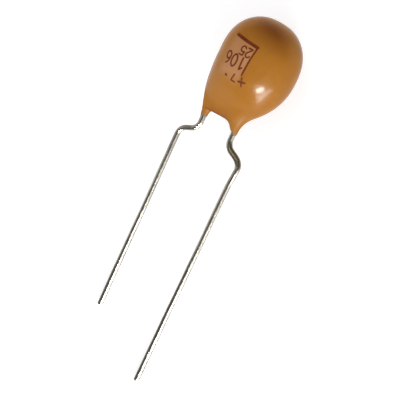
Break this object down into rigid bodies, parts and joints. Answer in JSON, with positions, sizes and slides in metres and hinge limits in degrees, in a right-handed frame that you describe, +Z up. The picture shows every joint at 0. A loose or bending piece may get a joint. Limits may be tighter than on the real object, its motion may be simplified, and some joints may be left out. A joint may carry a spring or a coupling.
{
  "type": "tantalum bead capacitor",
  "caption": "Resin-dipped tantalum bead capacitor: an egg-shaped drop on two kinked radial leads of unequal length, lying at rest.",
  "frame": {"origin": "on the bench, under the middle of the lying part's bounding box", "axes": "+Z up from the bench, out of the marked face; +Y along the leads toward the crown of the drop; +X from the negative lead toward the positive lead"},
  "size_m": [0.0078, 0.033, 0.0064],
  "materials": {
    "resin": "dipped and cured epoxy, glossy, orange tan",
    "sintered_tantalum": "sintered powder, dull dark grey",
    "tantalum_wire": "drawn, blue grey",
    "ptfe": "waxy white",
    "manganese_dioxide": "matt black, grainy",
    "graphite": "matt dark grey",
    "silver_paint": "matt silver-filled paint",
    "solder": "dipped, satin",
    "tinned_wire": "drawn, tinned, bright"
  },
  "bodies": {
    "root": {"resin_coat": "resin", "anode_slug": "sintered_tantalum", "riser_wire": "tantalum_wire", "insulating_washer": "ptfe", "dioxide_skin": "manganese_dioxide", "graphite_coat": "graphite", "silver_coat": "silver_paint", "solder_coat": "solder", "positive_lead": "tinned_wire", "negative_lead": "tinned_wire"}
  },
  "joints": []
}
